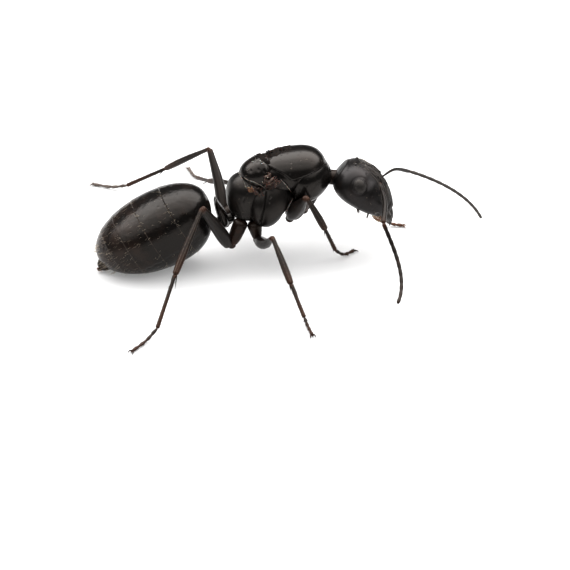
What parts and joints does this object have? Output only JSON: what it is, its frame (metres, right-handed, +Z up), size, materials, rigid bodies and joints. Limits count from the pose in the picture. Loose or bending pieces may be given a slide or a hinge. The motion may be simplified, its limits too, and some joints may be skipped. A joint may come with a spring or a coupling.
{
  "type": "carpenter ant queen",
  "caption": "Still, life-size wingless carpenter ant queen in black shell, standing on six feet with head and feelers turned aside.",
  "frame": {"origin": "middle of the model's outline on the floor, at the level of the six foot flats", "axes": "+X towards the ant's front, +Y to the ant's left, +Z up"},
  "size_m": [0.0218, 0.02, 0.0062],
  "materials": {
    "black_shell": "glossy black shell plates with fine punctures",
    "compound_eye": "dark compound eye with fine facets",
    "leg_shell": "dark brown black leg shell with fine lengthwise grain",
    "foot_shell": "reddish brown feet with short bristles",
    "membrane": "brown membrane and torn wing roots"
  },
  "bodies": {
    "root": {"head": "black_shell", "clypeus": "black_shell", "mandible_left": "black_shell", "mandible_right": "black_shell", "pronotum": "black_shell", "mesoscutum": "black_shell", "scutellum": "black_shell", "mesopleuron_left": "black_shell", "mesopleuron_right": "black_shell", "propodeum": "black_shell", "petiole": "black_shell", "gaster_1": "black_shell", "gaster_2": "black_shell", "gaster_3": "black_shell", "gaster_4": "black_shell", "gaster_5": "black_shell", "eye_left": "compound_eye", "eye_right": "compound_eye", "neck": "membrane", "wing_stump_left": "membrane", "wing_stump_right": "membrane", "mouthparts": "membrane", "coxa_front_right": "leg_shell", "femur_front_right": "leg_shell", "tibia_front_right": "leg_shell", "metatarsus_front_right": "foot_shell", "tarsus_front_right": "foot_shell", "coxa_front_left": "leg_shell", "femur_front_left": "leg_shell", "tibia_front_left": "leg_shell", "metatarsus_front_left": "foot_shell", "tarsus_front_left": "foot_shell", "coxa_middle_right": "leg_shell", "femur_middle_right": "leg_shell", "tibia_middle_right": "leg_shell", "metatarsus_middle_right": "foot_shell", "tarsus_middle_right": "foot_shell", "coxa_middle_left": "leg_shell", "femur_middle_left": "leg_shell", "tibia_middle_left": "leg_shell", "metatarsus_middle_left": "foot_shell", "tarsus_middle_left": "foot_shell", "coxa_hind_right": "leg_shell", "femur_hind_right": "leg_shell", "tibia_hind_right": "leg_shell", "metatarsus_hind_right": "foot_shell", "tarsus_hind_right": "foot_shell", "coxa_hind_left": "leg_shell", "femur_hind_left": "leg_shell", "tibia_hind_left": "leg_shell", "metatarsus_hind_left": "foot_shell", "tarsus_hind_left": "foot_shell", "scape_left": "leg_shell", "funiculus_base_left": "leg_shell", "funiculus_middle_left": "leg_shell", "funiculus_tip_left": "leg_shell", "scape_right": "leg_shell", "funiculus_base_right": "leg_shell", "funiculus_middle_right": "leg_shell", "funiculus_tip_right": "leg_shell"}
  },
  "joints": []
}
